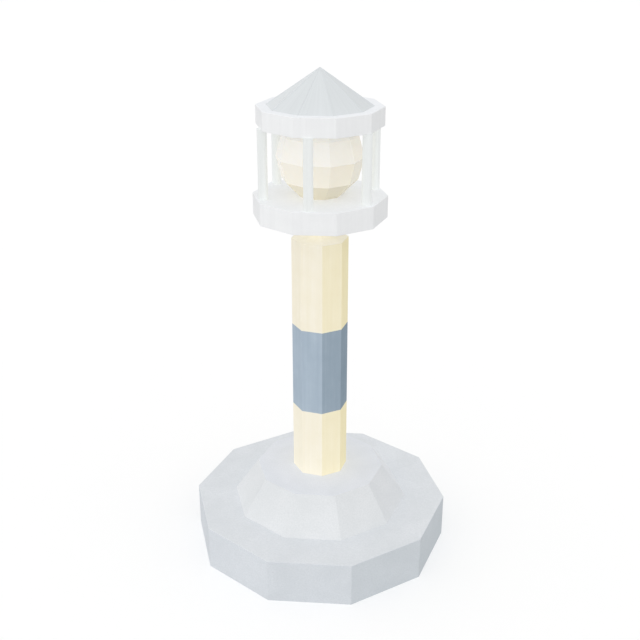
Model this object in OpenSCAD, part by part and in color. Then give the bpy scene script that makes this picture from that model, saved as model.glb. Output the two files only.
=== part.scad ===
// Small harbour lighthouse. A hollow octagonal shaft of flat wall panels, with a painted band,
// stands on a battered ten-sided apron and plinth. A cap and a flared neck on the shaft carry an
// open lantern: a thick deck, round posts, a ring beam, a ten-sided roof and a faceted globe.
// Millimetres, +Z up, origin at the centre of the plinth's underside. Every many-sided piece has
// a corner on the +X side.

/* [Base] */
// Height of the plinth
plinth_h = 940; // [400:1:1600]
// Level ledge of the plinth outside the foot of the apron, measured at the corners
ledge_w = 845; // [200:1:1500]
// Height of the battered apron
apron_h = 740; // [300:1:1500]
// How far the apron leans in between its foot and its top, measured at the corners
apron_batter = 515; // [100:1:1000]
// Level berm of the apron outside the foot of the shaft, measured at the corners
berm_w = 774; // [200:1:1500]

/* [Shaft] */
// Radius of the shaft's corners
shaft_r = 566; // [450:1:900]
// Thickness of the wall panels
wall_t = 140; // [80:1:250]
// Height of the lower wall panels
lower_h = 1490; // [800:1:3000]
// Height of the wall panels of the painted band
band_h = 1815; // [800:1:3000]
// Height of the upper wall panels
upper_h = 1745; // [800:1:3000]

/* [Cap and neck] */
// Upright edge of the cap that closes the shaft
cap_edge_h = 80; // [40:1:200]
// Rise of the cap's weathered slopes
cap_rise = 108; // [40:1:300]
// Radius of the neck's corners at its foot, on the cap
neck_foot_r = 215; // [150:1:400]
// Radius of the neck's corners at its head, under the deck
neck_head_r = 380; // [300:1:900]
// Height of the neck between the cap and the deck
neck_h = 327; // [150:1:800]

/* [Lantern] */
// Radius of the globe's corners
globe_r = 844; // [500:1:1200]
// Thickness of the globe's glass
glass_t = 15; // [8:1:40]
// Width of the flat rim that the globe stands on
globe_rim_w = 40; // [20:1:100]
// Clear space between the globe and each post
post_clear = 198; // [80:1:400]
// Radius of the posts
post_r = 92; // [50:1:150]
// Height of the posts between the deck and the ring beam
post_h = 1335; // [900:1:2200]
// Margin of the deck outside the posts, measured at its flat sides
deck_margin = 20; // [5:1:300]
// Thickness of the deck
deck_t = 435; // [150:1:700]
// Distance of the drip groove under the deck from the deck's flat sides
drip_inset = 60; // [30:1:120]
// Width of the drip groove
drip_w = 26; // [15:1:50]
// Depth of the drip groove
drip_d = 22; // [10:1:40]

/* [Ring beam and roof] */
// Depth of the ring beam
ring_h = 360; // [150:1:600]
// How far the ring beam's corners reach past the posts' centre line
ring_reach = 84; // [60:1:200]
// Clear space round the globe where it lifts out through the ring beam
lift_clear = 12; // [5:1:60]
// Width of the ring beam's top under the eaves, measured at the corners
eave_seat = 115; // [85:1:180]
// Rise of the roof
roof_rise = 690; // [400:1:1200]
// Thickness of the roof, square to its slopes
roof_t = 40; // [20:1:60]

/* [Hidden] */
base_sides = 10;
shaft_sides = 8;
post_count = 6;
// Latitude between the globe's rows of panes, and the latitude of its foot
pane_step = 30;
foot_latitude = -60;
post_fn = 48;
// How far a cut starts outside the face that it cuts into
cut_past = 1;

// Distance to a flat side for each unit of distance to a corner
base_flat = cos(180 / base_sides);
shaft_flat = cos(180 / shaft_sides);

// Corner radii, from the shaft outwards and from the globe outwards
apron_top_r = shaft_r + berm_w;
apron_foot_r = apron_top_r + apron_batter;
plinth_r = apron_foot_r + ledge_w;
shaft_inner_r = shaft_r - wall_t / shaft_flat;
post_circle_r = globe_r + post_clear + post_r;
deck_r = (post_circle_r + post_r + deck_margin) / base_flat;
ring_r = post_circle_r + ring_reach;
ring_bore_r = (globe_r + lift_clear) / base_flat;
roof_r = ring_bore_r + eave_seat;

// Levels, from the ground up
apron_z = plinth_h;
shaft_z = apron_z + apron_h;
band_z = shaft_z + lower_h;
upper_z = band_z + band_h;
cap_z = upper_z + upper_h;
neck_z = cap_z + cap_edge_h + cap_rise;
deck_z = neck_z + neck_h;
lantern_z = deck_z + deck_t;
ring_z = lantern_z + post_h;
roof_z = ring_z + ring_h;

plinth_grey = "#c9ced3";
apron_grey = "#d8dbdf";
shaft_cream = "#f3ead0";
band_blue = "#96a9b9";
lantern_white = "#f2f3f4";
roof_grey = "#d3d8db";
globe_ivory = "#f6efdc";

wall_numbers = [1 : shaft_sides];
post_numbers = [1 : post_count];

function on_circle(r, angle) = [r * cos(angle), r * sin(angle)];

// Right prism with flat sides and a corner on +X
module prism(sides, r, h) {
    cylinder(h = h, r = r, $fn = sides);
}

// Ten-sided outline with a ten-sided hole, each with a corner on +X
module flat_ring(outer_r, inner_r) {
    difference() {
        circle(r = outer_r, $fn = base_sides);
        circle(r = inner_r, $fn = base_sides);
    }
}

// Half profile, in radius and height, turned into a body with flat sides
module turned(sides, profile) {
    rotate_extrude($fn = sides) polygon(profile);
}

module plinth() {
    color(plinth_grey) prism(base_sides, plinth_r, plinth_h);
}

module apron() {
    color(apron_grey) translate([0, 0, apron_z])
        turned(base_sides, [[0, 0], [apron_foot_r, 0], [apron_top_r, apron_h], [0, apron_h]]);
}

// One flat panel of the shaft, from corner number - 1 to corner number, mitred to its neighbours
module wall_panel(number, z, h) {
    turn = 360 / shaft_sides;
    from = turn * (number - 1);
    to = turn * number;
    translate([0, 0, z]) linear_extrude(h) polygon([
        on_circle(shaft_r, from),
        on_circle(shaft_r, to),
        on_circle(shaft_inner_r, to),
        on_circle(shaft_inner_r, from)
    ]);
}

module lower_wall(number) {
    color(shaft_cream) wall_panel(number, shaft_z, lower_h);
}

module band_wall(number) {
    color(band_blue) wall_panel(number, band_z, band_h);
}

module upper_wall(number) {
    color(shaft_cream) wall_panel(number, upper_z, upper_h);
}

// Slab that closes the shaft, weathered from its upright edge up to the foot of the neck
module shaft_cap() {
    cap_h = cap_edge_h + cap_rise;
    color(shaft_cream) translate([0, 0, cap_z])
        turned(shaft_sides, [[0, 0], [shaft_r, 0], [shaft_r, cap_edge_h], [neck_foot_r, cap_h], [0, cap_h]]);
}

// Flared corbel that carries the deck
module neck() {
    color(shaft_cream) translate([0, 0, neck_z])
        turned(shaft_sides, [[0, 0], [neck_foot_r, 0], [neck_head_r, neck_h], [0, neck_h]]);
}

// Thick slab with a drip groove in its underside, which runs round near the edge
module gallery_deck() {
    groove_r = deck_r - drip_inset / base_flat;
    color(lantern_white) translate([0, 0, deck_z]) difference() {
        prism(base_sides, deck_r, deck_t);
        translate([0, 0, -cut_past]) linear_extrude(drip_d + cut_past)
            flat_ring(groove_r, groove_r - drip_w / base_flat);
    }
}

module lantern_post(number) {
    place = on_circle(post_circle_r, 360 / post_count * (number - 1));
    color(lantern_white) translate([place.x, place.y, lantern_z])
        cylinder(h = post_h, r = post_r, $fn = post_fn);
}

module ring_beam() {
    color(lantern_white) translate([0, 0, ring_z]) linear_extrude(ring_h)
        flat_ring(ring_r, ring_bore_r);
}

// Hollow pyramid of even thickness, with its eaves flat on the ring beam
module roof() {
    slope = atan(roof_rise / (roof_r * base_flat));
    inner_r = roof_r - roof_t / sin(slope) / base_flat;
    inner_rise = roof_rise - roof_t / cos(slope);
    color(roof_grey) translate([0, 0, roof_z])
        turned(base_sides, [[inner_r, 0], [roof_r, 0], [0, roof_rise], [0, inner_rise]]);
}

// Hollow globe of flat panes in level rows, cut off at its foot row, where its rim stands on the deck
module lamp_globe() {
    inner_r = globe_r - glass_t / base_flat / cos(pane_step / 2);
    foot = on_circle(globe_r, foot_latitude);
    outside = [for (latitude = [foot_latitude : pane_step : 90]) on_circle(globe_r, latitude)];
    inside = [for (latitude = [90 : -pane_step : foot_latitude + pane_step]) on_circle(inner_r, latitude)];
    rim = [foot.x - globe_rim_w, foot.y];
    color(globe_ivory) translate([0, 0, lantern_z - foot.y])
        turned(base_sides, concat(outside, inside, [rim]));
}

plinth();
apron();
for (i = wall_numbers) {
    lower_wall(i);
    band_wall(i);
    upper_wall(i);
}
shaft_cap();
neck();
gallery_deck();
for (i = post_numbers) {
    lantern_post(i);
}
ring_beam();
roof();
lamp_globe();
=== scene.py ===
"""Small harbour lighthouse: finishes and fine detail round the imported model. Metres, +Z up."""

import math

import bmesh
import bpy
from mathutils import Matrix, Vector


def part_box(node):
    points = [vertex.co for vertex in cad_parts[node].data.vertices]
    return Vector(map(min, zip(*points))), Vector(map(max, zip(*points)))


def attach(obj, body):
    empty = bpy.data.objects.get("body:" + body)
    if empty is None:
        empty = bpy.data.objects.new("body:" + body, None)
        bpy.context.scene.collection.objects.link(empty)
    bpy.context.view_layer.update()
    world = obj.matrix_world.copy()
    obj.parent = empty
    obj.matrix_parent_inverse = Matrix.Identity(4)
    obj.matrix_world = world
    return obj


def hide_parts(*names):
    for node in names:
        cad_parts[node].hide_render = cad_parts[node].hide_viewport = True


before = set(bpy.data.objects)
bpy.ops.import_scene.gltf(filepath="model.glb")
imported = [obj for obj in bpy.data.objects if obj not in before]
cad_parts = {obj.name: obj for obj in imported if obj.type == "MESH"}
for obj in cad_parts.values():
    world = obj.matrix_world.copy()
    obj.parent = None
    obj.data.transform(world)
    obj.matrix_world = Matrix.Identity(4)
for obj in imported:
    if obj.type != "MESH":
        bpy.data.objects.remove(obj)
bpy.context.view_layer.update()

MM = 0.001
BODY = "root"
WALL_COUNT = 8
POST_COUNT = 6
BASE_SIDES = 10
# Latitude between the globe's rows of panes
PANE_STEP = math.radians(30)

# The photograph's camera: its place round the part, its height, its tilt and its angle of view
CAMERA_AZIMUTH = math.radians(40.75)
CAMERA_DISTANCE = 18.074
CAMERA_HEIGHT = 12.894
CAMERA_TILT = math.radians(23.504)
CAMERA_LENS = 54.584
CAMERA_SENSOR = 36.0
# How far the floor reaches from the part, and how far the camera sees, which takes in all of the floor
FLOOR_REACH = 150
CAMERA_REACH = 500


def level(node):
    """Height of a node's underside and of its top."""
    low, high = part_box(node)
    return low.z, high.z


def corner_radius(node):
    """Distance from the axis to a node's corner on +X."""
    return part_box(node)[1].x


def linear(hex_colour):
    """sRGB hex to linear colour with alpha."""
    parts = [int(hex_colour[i:i + 2], 16) / 255 for i in (1, 3, 5)]
    return [c / 12.92 if c <= 0.04045 else ((c + 0.055) / 1.055) ** 2.4 for c in parts] + [1.0]


def add(tree, kind, inputs=(), **properties):
    """Adds a node: properties are set on it, and each input takes a value, a link from a socket, or links
    from a list of sockets."""
    made = tree.nodes.new(kind)
    for name, value in properties.items():
        setattr(made, name, value)
    for name, value in dict(inputs).items():
        sources = value if isinstance(value, list) else [value]
        if isinstance(sources[0], bpy.types.NodeSocket):
            for source in sources:
                tree.links.new(source, made.inputs[name])
        else:
            made.inputs[name].default_value = value
    return made.outputs


# Sockets of the Mix node in its colour form
MIX_FACTOR, MIX_A, MIX_B, MIX_RESULT = 0, 6, 7, 2


def emptied_tree(owner):
    """The node tree of a material or a world, with nothing in it."""
    owner.use_nodes = True
    owner.node_tree.nodes.clear()
    return owner.node_tree


def new_material(name):
    """A material with its tree and the socket of Object coordinates."""
    material = bpy.data.materials.new(name)
    tree = emptied_tree(material)
    return material, tree, add(tree, "ShaderNodeTexCoord")["Object"]


def finish_material(tree, inputs):
    """Ends a tree in one Principled shader."""
    shader = add(tree, "ShaderNodeBsdfPrincipled", inputs)["BSDF"]
    add(tree, "ShaderNodeOutputMaterial", {"Surface": shader})


# Painted light and shade by facing: the direction that faces turn to for the light-side tone, toward the
# part's -Y side and up, and how far a face has to turn to it to take that tone in full
PAINTED_LIGHT_TOWARD = (0.0, -0.64, 0.77)
FULL_PAINTED_LIGHT = 0.6
# How far a face has to turn away from that direction before painted shade darkens it, and to be darkened in
# full
PAINTED_SHADE_FROM, FULL_PAINTED_SHADE = -0.25, -0.6
# Tint of the painted shade on faces turned away from -Y
PAINTED_SHADE_TINT = "#f5f6f5"
# How far a face has to turn up before it takes its painted top tone, and to take it in full
PAINTED_TOP_FROM, FULL_PAINTED_TOP = 0.85, 0.95


def painted_facing_shade(tree, light_side_tone, away_side_tone, top_tone):
    """Colour of a face with light and shade painted in by the way it faces: the light-side tone on faces
    turned to -Y, the away-side tone on the sides between, painted shade darkening the side turned away from
    -Y, and the top tone on level tops."""
    facing = add(tree, "ShaderNodeTexCoord")["Normal"]
    facing_light = add(tree, "ShaderNodeVectorMath", {0: facing, 1: PAINTED_LIGHT_TOWARD}, operation="DOT_PRODUCT")["Value"]
    light_side_share = add(tree, "ShaderNodeMapRange", {"Value": facing_light, "From Max": FULL_PAINTED_LIGHT})["Result"]
    sided = add(tree, "ShaderNodeMix", {MIX_FACTOR: light_side_share, MIX_A: linear(away_side_tone),
                                        MIX_B: linear(light_side_tone)}, data_type="RGBA")[MIX_RESULT]
    painted_shade_share = add(tree, "ShaderNodeMapRange", {"Value": facing_light, "From Min": PAINTED_SHADE_FROM,
                                            "From Max": FULL_PAINTED_SHADE})["Result"]
    darkened = add(tree, "ShaderNodeMix", {MIX_FACTOR: painted_shade_share, MIX_A: sided, MIX_B: linear(PAINTED_SHADE_TINT)},
                   data_type="RGBA", blend_type="MULTIPLY")[MIX_RESULT]
    upward = add(tree, "ShaderNodeSeparateXYZ", {"Vector": facing})["Z"]
    top_share = add(tree, "ShaderNodeMapRange", {"Value": upward, "From Min": PAINTED_TOP_FROM,
                                            "From Max": FULL_PAINTED_TOP})["Result"]
    return add(tree, "ShaderNodeMix", {MIX_FACTOR: top_share, MIX_A: darkened, MIX_B: linear(top_tone)},
               data_type="RGBA")[MIX_RESULT]


def masonry_paint(name, light_side_tone, away_side_tone, top_tone, lap_tint):
    """Matt masonry paint rolled on wood-floated render: light and shade painted in by the way a face turns,
    with blotches where the coats lap, faint rain streaks down the walls, the float's soft waves and the
    roller's stipple. No gloss."""
    material, tree, place = new_material(name)
    lap_size, streak_width, streak_length = 420 * MM, 70 * MM, 1600 * MM
    wave_size, wave_depth = 160 * MM, 4 * MM
    # A roller's stipple is about 3 mm, which is too fine to show, so it is drawn coarser
    stipple_size, stipple_depth = 24 * MM, 3 * MM
    laps = add(tree, "ShaderNodeTexNoise", {"Vector": place, "Scale": 1 / lap_size, "Detail": 4.0,
                                            "Roughness": 0.6})["Fac"]
    stretched = add(tree, "ShaderNodeMapping", {
        "Vector": place, "Scale": (1 / streak_width, 1 / streak_width, 1 / streak_length)})["Vector"]
    streaks = add(tree, "ShaderNodeTexNoise", {"Vector": stretched, "Scale": 1.0, "Detail": 3.0})["Fac"]
    both = add(tree, "ShaderNodeMath", {0: laps, 1: streaks}, operation="MULTIPLY")["Value"]
    thin_coat_and_lower_shade = add(tree, "ShaderNodeMapRange", {"Value": both, "From Min": 0.42, "From Max": 0.12})["Result"]
    # Painted light and shade: the coat's colour follows the way the face turns
    coat = painted_facing_shade(tree, light_side_tone, away_side_tone, top_tone)
    colour = add(tree, "ShaderNodeMix", {MIX_FACTOR: thin_coat_and_lower_shade, MIX_A: coat, MIX_B: linear(lap_tint)},
                 data_type="RGBA", blend_type="MULTIPLY")[MIX_RESULT]
    waves = add(tree, "ShaderNodeTexNoise", {"Vector": place, "Scale": 1 / wave_size, "Detail": 2.0})["Fac"]
    stipple = add(tree, "ShaderNodeTexNoise", {"Vector": place, "Scale": 1 / stipple_size,
                                               "Detail": 3.0, "Roughness": 0.7})["Fac"]
    waved = add(tree, "ShaderNodeBump", {"Height": waves, "Strength": 0.35,
                                         "Distance": wave_depth})["Normal"]
    normal = add(tree, "ShaderNodeBump", {"Height": stipple, "Strength": 0.5, "Distance": stipple_depth,
                                          "Normal": waved})["Normal"]
    finish_material(tree, {"Base Color": colour, "Roughness": 0.9, "IOR": 1.45,
                           "Specular IOR Level": 0.15, "Normal": normal})
    return material


def cast_concrete(name, light_side_tone, away_side_tone, top_tone, cloud_tint):
    """Fair-faced cast concrete: light and shade painted in by the way a face turns, cloudy paste, sand
    speckle, and pinholes left by air at the form."""
    material, tree, place = new_material(name)
    cloud_size, pinhole_spacing, pinhole_size, pinhole_depth = 700 * MM, 180 * MM, 15 * MM, 3 * MM
    # Sand is 1 to 4 mm, which is too fine to show, so its speckle is drawn coarser
    sand_size, sand_depth = 28 * MM, 2 * MM
    clouds = add(tree, "ShaderNodeTexNoise", {"Vector": place, "Scale": 1 / cloud_size, "Detail": 6.0,
                                              "Roughness": 0.62, "Distortion": 0.4})["Fac"]
    sand = add(tree, "ShaderNodeTexNoise", {"Vector": place, "Scale": 1 / sand_size, "Detail": 2.0})["Fac"]
    holes = add(tree, "ShaderNodeTexVoronoi", {"Vector": place, "Scale": 1 / pinhole_spacing})["Distance"]
    hole_edge = pinhole_size / pinhole_spacing
    solid = add(tree, "ShaderNodeMapRange", {"Value": holes, "From Min": 0.5 * hole_edge,
                                             "From Max": hole_edge})["Result"]
    speckled = add(tree, "ShaderNodeMath", {0: clouds, 1: sand}, operation="MULTIPLY")["Value"]
    pale = add(tree, "ShaderNodeMapRange", {"Value": speckled, "From Min": 0.12,
                                            "From Max": 0.40})["Result"]
    clear = add(tree, "ShaderNodeMath", {0: pale, 1: solid}, operation="MULTIPLY")["Value"]
    clouded = add(tree, "ShaderNodeMath", {0: 1.0, 1: clear}, operation="SUBTRACT")["Value"]
    # Painted light and shade: the paste's colour follows the way the face turns
    paste = painted_facing_shade(tree, light_side_tone, away_side_tone, top_tone)
    colour = add(tree, "ShaderNodeMix", {MIX_FACTOR: clouded, MIX_A: paste, MIX_B: linear(cloud_tint)},
                 data_type="RGBA", blend_type="MULTIPLY")[MIX_RESULT]
    rough = add(tree, "ShaderNodeMapRange", {"Value": clouds, "To Min": 0.75, "To Max": 0.92})["Result"]
    grain = add(tree, "ShaderNodeBump", {"Height": sand, "Strength": 0.4, "Distance": sand_depth})["Normal"]
    normal = add(tree, "ShaderNodeBump", {"Height": solid, "Strength": 0.6, "Distance": pinhole_depth,
                                          "Normal": grain})["Normal"]
    finish_material(tree, {"Base Color": colour, "Roughness": rough, "IOR": 1.5,
                           "Specular IOR Level": 0.3, "Normal": normal})
    return material


def gloss_paint(name, light_side_enamel, away_side_tone, mark_tint):
    """Brushed enamel on steel: satin, with light and shade painted in by the way a face turns: a duller
    white on faces turned to -Y and painted light, a brighter white, on faces turned away. Faint upright
    brush marks."""
    material, tree, place = new_material(name)
    # A bristle's mark is about 1 mm wide, which is too fine to show, so it is drawn coarser
    mark_width, mark_length, mark_depth = 16 * MM, 300 * MM, 0.3 * MM
    stretched = add(tree, "ShaderNodeMapping", {
        "Vector": place, "Scale": (1 / mark_width, 1 / mark_width, 1 / mark_length)})["Vector"]
    marks = add(tree, "ShaderNodeTexNoise", {"Vector": stretched, "Scale": 1.0, "Detail": 2.0})["Fac"]
    # Painted light and shade: duller white toward -Y, and painted light on the faces turned away
    coat = painted_facing_shade(tree, light_side_enamel, away_side_tone, light_side_enamel)
    colour = add(tree, "ShaderNodeMix", {MIX_FACTOR: marks, MIX_A: coat, MIX_B: linear(mark_tint)},
                 data_type="RGBA", blend_type="MULTIPLY")[MIX_RESULT]
    rough = add(tree, "ShaderNodeMapRange", {"Value": marks, "To Min": 0.34, "To Max": 0.5})["Result"]
    normal = add(tree, "ShaderNodeBump", {"Height": marks, "Strength": 0.2,
                                          "Distance": mark_depth})["Normal"]
    finish_material(tree, {"Base Color": colour, "Roughness": rough, "IOR": 1.5, "Normal": normal})
    return material


def coated_sheet(name, coat, faded_coat):
    """Coil-coated steel sheet: satin, with streaks that run down the slopes and shallow buckles."""
    material, tree, place = new_material(name)
    streak_width, streak_length = 60 * MM, 900 * MM
    buckle_size, buckle_depth = 450 * MM, 6 * MM
    apart = add(tree, "ShaderNodeSeparateXYZ", {"Vector": place})
    turn = add(tree, "ShaderNodeMath", {0: apart["Y"], 1: apart["X"]}, operation="ARCTAN2")["Value"]
    around = add(tree, "ShaderNodeMath", {0: turn, 1: corner_radius("roof") / streak_width},
                 operation="MULTIPLY")["Value"]
    down = add(tree, "ShaderNodeMath", {0: apart["Z"], 1: 1 / streak_length},
               operation="MULTIPLY")["Value"]
    along = add(tree, "ShaderNodeCombineXYZ", {"X": around, "Y": down})["Vector"]
    streaks = add(tree, "ShaderNodeTexNoise", {"Vector": along, "Scale": 1.0, "Detail": 3.0})["Fac"]
    share = add(tree, "ShaderNodeMapRange", {"Value": streaks, "From Min": 0.3, "From Max": 0.7})["Result"]
    colour = add(tree, "ShaderNodeMix", {MIX_FACTOR: share, MIX_A: linear(faded_coat),
                                         MIX_B: linear(coat)}, data_type="RGBA")[MIX_RESULT]
    rough = add(tree, "ShaderNodeMapRange", {"Value": streaks, "To Min": 0.4, "To Max": 0.6})["Result"]
    buckles = add(tree, "ShaderNodeTexNoise", {"Vector": place, "Scale": 1 / buckle_size,
                                               "Detail": 1.0})["Fac"]
    normal = add(tree, "ShaderNodeBump", {"Height": buckles, "Strength": 0.3,
                                          "Distance": buckle_depth})["Normal"]
    finish_material(tree, {"Base Color": colour, "Roughness": rough, "IOR": 1.5, "Normal": normal})
    return material


def opal_glass(name, light_side_glass, away_side_tone, swirl_tint, lower_pane_shade):
    """Flashed opal glass: milky and smooth, with light and shade painted in by the way a pane turns, slow
    swirls in the flash and light spreading inside. Painted shade darkens the panes below the globe's middle
    a little and its lowest row the most."""
    material, tree, place = new_material(name)
    swirl_size, ripple_size, ripple_depth, light_reach = 260 * MM, 60 * MM, 1 * MM, 15 * MM
    shade_share_below_middle = 0.3
    radius = corner_radius("lamp_globe")
    middle = level("lamp_globe")[1] - radius
    lowest_row_top = middle - radius * math.sin(PANE_STEP)
    swirls = add(tree, "ShaderNodeTexNoise", {"Vector": place, "Scale": 1 / swirl_size, "Detail": 3.0,
                                              "Distortion": 1.2})["Fac"]
    # Painted light and shade: the flash's colour follows the way the pane turns
    flash = painted_facing_shade(tree, light_side_glass, away_side_tone, light_side_glass)
    milky = add(tree, "ShaderNodeMix", {MIX_FACTOR: swirls, MIX_A: flash, MIX_B: linear(swirl_tint)},
                data_type="RGBA", blend_type="MULTIPLY")[MIX_RESULT]
    height = add(tree, "ShaderNodeSeparateXYZ", {"Vector": place})["Z"]
    # Painted shade on the lower panes, which face down: part of it below the globe's middle and all of it
    # in the lowest row
    below = add(tree, "ShaderNodeMath", {0: height, 1: middle}, operation="LESS_THAN")["Value"]
    lowest = add(tree, "ShaderNodeMath", {0: height, 1: lowest_row_top}, operation="LESS_THAN")["Value"]
    shade_below_middle = add(tree, "ShaderNodeMath", {0: below, 1: shade_share_below_middle},
                  operation="MULTIPLY")["Value"]
    thin_coat_and_lower_shade = add(tree, "ShaderNodeMath", {0: lowest, 1: shade_below_middle}, operation="MAXIMUM")["Value"]
    colour = add(tree, "ShaderNodeMix", {MIX_FACTOR: thin_coat_and_lower_shade, MIX_A: milky,
                                         MIX_B: linear(lower_pane_shade)}, data_type="RGBA")[MIX_RESULT]
    ripples = add(tree, "ShaderNodeTexNoise", {"Vector": place, "Scale": 1 / ripple_size})["Fac"]
    normal = add(tree, "ShaderNodeBump", {"Height": ripples, "Strength": 0.15,
                                          "Distance": ripple_depth})["Normal"]
    finish_material(tree, {"Base Color": colour, "Roughness": 0.22, "IOR": 1.5,
                           "Subsurface Weight": 0.25, "Subsurface Scale": light_reach,
                           "Subsurface Radius": (1.0, 0.9, 0.7), "Normal": normal})
    return material


# The first colours of each finish paint light and shade by facing: its tone on faces turned to -Y, its tone
# on the sides between and, for paint and concrete, its tone on level tops. The glass's last colour is
# painted shade on its lower panes.
PLINTH_CONCRETE = cast_concrete("plinth_concrete", "#d8dce1", "#d0d6db", "#dde0e4", "#f3f4f4")
APRON_CONCRETE = cast_concrete("apron_concrete", "#dddfe1", "#dfe1e4", "#dfe2e9", "#f4f5f5")
CREAM_PAINT = masonry_paint("cream_masonry_paint", "#f4eede", "#fbf1cb", "#faf5e8", "#fbfaf5")
BLUE_PAINT = masonry_paint("blue_masonry_paint", "#aebcc9", "#93a3b0", "#aebcc9", "#eff1f3")
WHITE_PAINT = masonry_paint("white_masonry_paint", "#ecedee", "#f1f2f3", "#edeff2", "#fafafa")
WHITE_ENAMEL = gloss_paint("white_enamel", "#e6e9e8", "#f5f8f7", "#fafafa")
ROOF_SHEET = coated_sheet("roof_coated_sheet", "#d4d8da", "#cfd3d5")
OPAL_GLASS = opal_glass("opal_glass", "#f0eeea", "#f9f4ea", "#fbfaf6", "#e2dbc6")

# Two points closer than SAME_POINT are one point, a point closer to a plane than ON_PLANE lies on it, and
# faces closer in angle than SAME_FLAT are one flat face
SAME_POINT = 0.01 * MM
ON_PLANE = 1 * MM
SAME_FLAT = math.radians(1)
# Edges that turn by more than this stay sharp on a smooth piece
RIM_ANGLE = math.radians(40)
ARRIS_STEPS = 3
# Weighted Normal's highest weight, at which each corner takes the normal of its largest face
LARGEST_FACE_ONLY = 100


def placed(name, data):
    """A new object in the scene, at the origin."""
    made = bpy.data.objects.new(name, data)
    bpy.context.scene.collection.objects.link(made)
    return made


def mesh_of(name, shape):
    """A mesh that holds a bmesh, which is freed."""
    mesh = bpy.data.meshes.new(name)
    shape.to_mesh(mesh)
    shape.free()
    return mesh


def settled(piece, material, slot, *nodes):
    """Gives a piece its finish, its body and the nodes that it stands for."""
    piece.data.materials.clear()
    piece.data.materials.append(material)
    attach(piece, BODY)
    if nodes:
        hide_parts(*nodes)


def on_level(edge_or_face, height):
    """Whether an edge or a face lies level at a height."""
    return all(abs(v.co.z - height) < ON_PLANE for v in edge_or_face.verts)


def whole_shape(nodes):
    """One closed bmesh of nodes that touch, with their mitres taken out and their flat faces whole."""
    shape = bmesh.new()
    for node in nodes:
        shape.from_mesh(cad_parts[node].data)
    bmesh.ops.remove_doubles(shape, verts=shape.verts, dist=SAME_POINT)
    if len(nodes) > 1:
        # The plane of a mitre runs through the axis
        mitres = [f for f in shape.faces if abs(f.normal.dot(f.calc_center_median())) < ON_PLANE]
        bmesh.ops.delete(shape, geom=mitres, context="FACES")
    bmesh.ops.dissolve_limit(shape, angle_limit=SAME_FLAT, verts=shape.verts, edges=shape.edges)
    return shape


def dressed(name, nodes, arris, seats, material, slot):
    """A piece that stands for nodes, with its free arrises rounded and those at its seats left sharp."""
    shape = whole_shape(nodes)
    weight = shape.edges.layers.float.new("bevel_weight_edge")
    for edge in shape.edges:
        seated = any(on_level(edge, seat) for seat in seats)
        edge[weight] = 0.0 if seated else 1.0
        edge.smooth = not seated
    for face in shape.faces:
        face.smooth = True
    piece = placed(name, mesh_of(name, shape))
    rounding = piece.modifiers.new("arris", "BEVEL")
    rounding.limit_method = "WEIGHT"
    rounding.width = arris
    rounding.segments = ARRIS_STEPS
    flattening = piece.modifiers.new("flat_faces", "WEIGHTED_NORMAL")
    flattening.weight = LARGEST_FACE_ONLY
    flattening.keep_sharp = True
    settled(piece, material, slot, *nodes)


def numbered(stem, count):
    """Names of like nodes, numbered from 1."""
    return [f"{stem}_{i}" for i in range(1, count + 1)]


def make_masonry():
    """The base, the shaft and the slabs."""
    concrete_arris, render_arris, slab_arris = 12 * MM, 8 * MM, 10 * MM
    dressed("plinth_block", ["plinth"], concrete_arris, level("plinth")[:1],
            PLINTH_CONCRETE, "plinth_concrete")
    dressed("apron_block", ["apron"], concrete_arris, level("apron")[:1],
            APRON_CONCRETE, "apron_concrete")
    for tier, paint, slot in (("lower", CREAM_PAINT, "cream_render"),
                              ("band", BLUE_PAINT, "blue_render"),
                              ("upper", CREAM_PAINT, "cream_render")):
        walls = numbered(f"{tier}_wall", WALL_COUNT)
        dressed(f"{tier}_shaft", walls, render_arris, level(walls[0]), paint, slot)
    dressed("cap_slab", ["shaft_cap"], render_arris, level("shaft_cap"), CREAM_PAINT, "cream_render")
    dressed("neck_stub", ["neck"], render_arris, level("neck"), CREAM_PAINT, "cream_render")
    dressed("deck_slab", ["gallery_deck"], slab_arris, [], WHITE_PAINT, "white_render")
    dressed("ring_slab", ["ring_beam"], slab_arris, [], WHITE_PAINT, "white_render")


def make_roof_and_globe():
    """The roof's folded sheets and the globe's panes."""
    sheet_fold, pane_edge = 5 * MM, 3 * MM
    dressed("roof_sheets", ["roof"], sheet_fold, level("roof")[:1], ROOF_SHEET, "roof_sheet")
    dressed("globe_panes", ["lamp_globe"], pane_edge, level("lamp_globe")[:1], OPAL_GLASS, "opal_glass")


def geometry_tree(name, sizes, starts_from_mesh=False):
    """A Geometry Nodes tree with a named input for each size, and the sockets of its inputs."""
    tree = bpy.data.node_groups.new(name, "GeometryNodeTree")
    tree.interface.new_socket("Geometry", in_out="OUTPUT", socket_type="NodeSocketGeometry")
    if starts_from_mesh:
        tree.interface.new_socket("Geometry", in_out="INPUT", socket_type="NodeSocketGeometry")
    for size, value in sizes.items():
        kind = "NodeSocketInt" if isinstance(value, int) else "NodeSocketFloat"
        tree.interface.new_socket(size, in_out="INPUT", socket_type=kind)
    return tree, add(tree, "NodeGroupInput")


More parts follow.
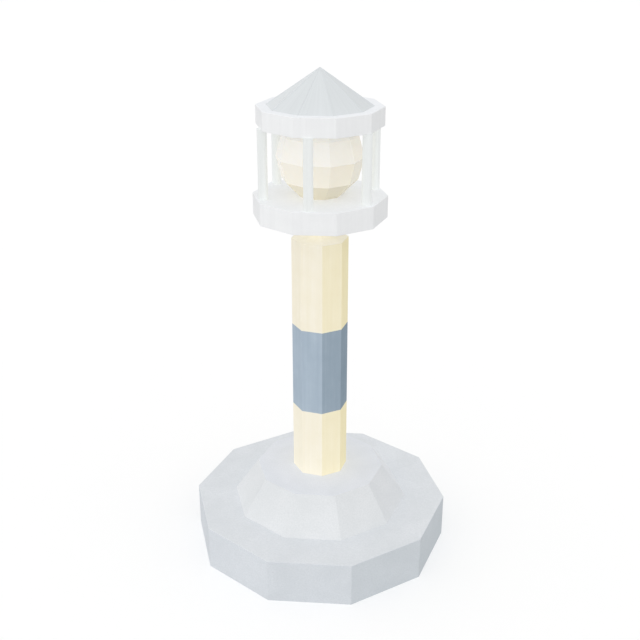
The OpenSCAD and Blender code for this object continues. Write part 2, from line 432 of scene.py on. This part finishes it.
def grown(name, tree, geometry, sizes, material, base=None):
    """Ends a tree, runs it with its sizes and keeps the result as a plain mesh object, smooth but for
    its rims."""
    real = add(tree, "GeometryNodeRealizeInstances", {"Geometry": geometry})["Geometry"]
    painted = add(tree, "GeometryNodeSetMaterial", {"Geometry": real, "Material": material})["Geometry"]
    add(tree, "NodeGroupOutput", {"Geometry": painted})
    maker = placed(name + "_maker", base or bpy.data.meshes.new(name + "_base"))
    growing = maker.modifiers.new("grow", "NODES")
    growing.node_group = tree
    for item in tree.interface.items_tree:
        if item.in_out == "INPUT" and item.name in sizes:
            growing[item.identifier] = sizes[item.name]
    ready = maker.evaluated_get(bpy.context.evaluated_depsgraph_get())
    mesh = bpy.data.meshes.new_from_object(ready)
    bpy.data.objects.remove(maker)
    mesh.name = name
    mesh.shade_smooth()
    mesh.set_sharp_from_angle(angle=RIM_ANGLE)
    return placed(name, mesh)


def make_posts():
    """Round posts on a circle, each with a weld bead at its foot and its head."""
    post_sides, bead_sides = 72, 10
    low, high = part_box("lantern_post_1")
    radius = (high.x - low.x) / 2
    sizes = {"Count": POST_COUNT, "Circle": high.x - radius, "Foot": low.z, "Height": high.z - low.z,
             "Radius": radius, "Bead": 7 * MM}
    tree, given = geometry_tree("welded_posts", sizes)
    rod = add(tree, "GeometryNodeMeshCylinder", {"Vertices": post_sides, "Radius": given["Radius"],
                                                 "Depth": given["Height"]})["Mesh"]
    half = add(tree, "ShaderNodeMath", {0: given["Height"], 1: 0.5}, operation="MULTIPLY")["Value"]
    raised = add(tree, "ShaderNodeCombineXYZ", {"Z": half})["Vector"]
    bar = add(tree, "GeometryNodeTransform", {"Geometry": rod, "Translation": raised})["Geometry"]
    ring = add(tree, "GeometryNodeCurvePrimitiveCircle", {"Resolution": post_sides,
                                                          "Radius": given["Radius"]})["Curve"]
    section = add(tree, "GeometryNodeCurvePrimitiveCircle", {"Resolution": bead_sides,
                                                             "Radius": given["Bead"]})["Curve"]
    bead = add(tree, "GeometryNodeCurveToMesh", {"Curve": ring, "Profile Curve": section})["Mesh"]
    up = add(tree, "ShaderNodeCombineXYZ", {"Z": given["Height"]})["Vector"]
    top_bead = add(tree, "GeometryNodeTransform", {"Geometry": bead, "Translation": up})["Geometry"]
    post = add(tree, "GeometryNodeJoinGeometry", {"Geometry": [bar, bead, top_bead]})["Geometry"]
    circle = add(tree, "GeometryNodeMeshCircle", {"Vertices": given["Count"],
                                                  "Radius": given["Circle"]})["Mesh"]
    lift = add(tree, "ShaderNodeCombineXYZ", {"Z": given["Foot"]})["Vector"]
    feet = add(tree, "GeometryNodeTransform", {"Geometry": circle, "Translation": lift})["Geometry"]
    posts = add(tree, "GeometryNodeInstanceOnPoints", {"Points": feet, "Instance": post})["Instances"]
    piece = grown("lantern_posts", tree, posts, sizes, WHITE_ENAMEL)
    settled(piece, WHITE_ENAMEL, "white_steel", *numbered("lantern_post", POST_COUNT))


def make_hip_seams():
    """Rolled seams that cover the roof's hips, from the eaves to the tip."""
    roll_sides = 12
    eaves, tip = level("roof")
    sizes = {"Count": BASE_SIDES, "Eaves": corner_radius("roof"), "Level": eaves, "Rise": tip - eaves,
             "Roll": 6 * MM}
    tree, given = geometry_tree("hip_seams", sizes)
    corner = add(tree, "ShaderNodeCombineXYZ", {"X": given["Eaves"], "Z": given["Level"]})["Vector"]
    top = add(tree, "ShaderNodeMath", {0: given["Level"], 1: given["Rise"]}, operation="ADD")["Value"]
    peak = add(tree, "ShaderNodeCombineXYZ", {"Z": top})["Vector"]
    hip = add(tree, "GeometryNodeCurvePrimitiveLine", {"Start": corner, "End": peak})["Curve"]
    section = add(tree, "GeometryNodeCurvePrimitiveCircle", {"Resolution": roll_sides,
                                                             "Radius": given["Roll"]})["Curve"]
    roll = add(tree, "GeometryNodeCurveToMesh", {"Curve": hip, "Profile Curve": section,
                                                 "Fill Caps": True})["Mesh"]
    points = add(tree, "GeometryNodePoints", {"Count": given["Count"]})["Points"]
    index = add(tree, "GeometryNodeInputIndex")["Index"]
    step = add(tree, "ShaderNodeMath", {0: math.tau, 1: given["Count"]}, operation="DIVIDE")["Value"]
    angle = add(tree, "ShaderNodeMath", {0: index, 1: step}, operation="MULTIPLY")["Value"]
    turned = add(tree, "ShaderNodeCombineXYZ", {"Z": angle})["Vector"]
    rolls = add(tree, "GeometryNodeInstanceOnPoints", {"Points": points, "Instance": roll,
                                                       "Rotation": turned})["Instances"]
    piece = grown("hip_seams", tree, rolls, sizes, ROOF_SHEET)
    settled(piece, ROOF_SHEET, "roof_sheet")


def make_glazing_bars():
    """Slim bars along every edge between the globe's panes."""
    # An odd number of sides keeps the ends of bars that meet from sharing an edge
    bar_sides = 9
    shape = whole_shape(["lamp_globe"])
    foot, top = level("lamp_globe")
    centre = Vector((0, 0, top - corner_radius("lamp_globe")))
    inner = [f for f in shape.faces
             if f.normal.dot(f.calc_center_median() - centre) < 0 or on_level(f, foot)]
    bmesh.ops.delete(shape, geom=inner, context="FACES")
    sizes = {"Bar": 4 * MM}
    tree, given = geometry_tree("glazing_bars", sizes, starts_from_mesh=True)
    edges = add(tree, "GeometryNodeMeshToCurve", {"Mesh": given["Geometry"]})["Curve"]
    section = add(tree, "GeometryNodeCurvePrimitiveCircle", {"Resolution": bar_sides,
                                                             "Radius": given["Bar"]})["Curve"]
    bars = add(tree, "GeometryNodeCurveToMesh", {"Curve": edges, "Profile Curve": section,
                                                 "Fill Caps": True})["Mesh"]
    piece = grown("glazing_bars", tree, bars, sizes, OPAL_GLASS, base=mesh_of("pane_edges", shape))
    settled(piece, OPAL_GLASS, "opal_glass")


def make_camera():
    """The camera, where the photograph's was."""
    camera = bpy.data.cameras.new("camera")
    camera.lens = CAMERA_LENS
    camera.sensor_width = CAMERA_SENSOR
    camera.clip_end = CAMERA_REACH
    holder = placed("camera", camera)
    holder.location = (CAMERA_DISTANCE * math.sin(CAMERA_AZIMUTH),
                       -CAMERA_DISTANCE * math.cos(CAMERA_AZIMUTH), CAMERA_HEIGHT)
    holder.rotation_euler = (math.pi / 2 - CAMERA_TILT, 0, CAMERA_AZIMUTH)
    bpy.context.scene.camera = holder


# The studio: even light from the whole sky, which alone casts the soft shadow on the floor, and large
# soft lamps. Each lamp has its side in degrees round from the camera's, its height in degrees and its
# strength, of which pi gives a face square to the lamp its written colour.
SKY_LEVEL = 0.74
LAMP_SPREAD = math.radians(30)
LAMPS = (("key", -36, 5, 1.18), ("right", 76, 15, 0.52), ("back", 190, 15, 0.55),
         ("overhead", 0, 90, 0.55))


def seen_directly(tree):
    """1 for a camera, glossy or transmission ray, and 0 for light that spreads from surface to surface."""
    path = add(tree, "ShaderNodeLightPath")
    first = add(tree, "ShaderNodeMath", {0: path["Is Camera Ray"], 1: path["Is Glossy Ray"]},
                operation="MAXIMUM")["Value"]
    return add(tree, "ShaderNodeMath", {0: first, 1: path["Is Transmission Ray"]},
               operation="MAXIMUM")["Value"]


def make_light():
    """The sky, white where it is seen, and the lamps."""
    world = bpy.data.worlds.new("studio")
    tree = emptied_tree(world)
    strength = add(tree, "ShaderNodeMapRange", {"Value": seen_directly(tree), "To Min": SKY_LEVEL,
                                                "To Max": 1.0})["Result"]
    shade = add(tree, "ShaderNodeBackground", {"Color": linear("#ffffff"), "Strength": strength})
    add(tree, "ShaderNodeOutputWorld", {"Surface": shade["Background"]})
    bpy.context.scene.world = world
    for name, side, height, energy in LAMPS:
        lamp = bpy.data.lights.new(name, "SUN")
        lamp.energy = energy
        lamp.angle = LAMP_SPREAD
        lamp.use_shadow = False
        holder = placed(name, lamp)
        holder.rotation_euler = (math.radians(90 - height), 0, CAMERA_AZIMUTH + math.radians(side))
        holder.visible_glossy = False


def make_floor():
    """A wide floor: white in the picture but for the shadow, and grey for the light it throws back."""
    shape = bmesh.new()
    bmesh.ops.create_grid(shape, x_segments=1, y_segments=1, size=FLOOR_REACH)
    floor = placed("floor", mesh_of("floor", shape))
    material = bpy.data.materials.new("studio_floor")
    tree = emptied_tree(material)
    colour = add(tree, "ShaderNodeMix", {MIX_FACTOR: seen_directly(tree), MIX_A: linear("#c4c4c4"),
                                         MIX_B: linear("#fbfbfb")}, data_type="RGBA")[MIX_RESULT]
    matt = add(tree, "ShaderNodeBsdfDiffuse", {"Color": colour})["BSDF"]
    add(tree, "ShaderNodeOutputMaterial", {"Surface": matt})
    floor.data.materials.append(material)


make_camera()
make_masonry()
make_posts()
make_roof_and_globe()
make_hip_seams()
make_glazing_bars()
make_light()
make_floor()
bpy.context.scene.view_settings.view_transform = "Standard"
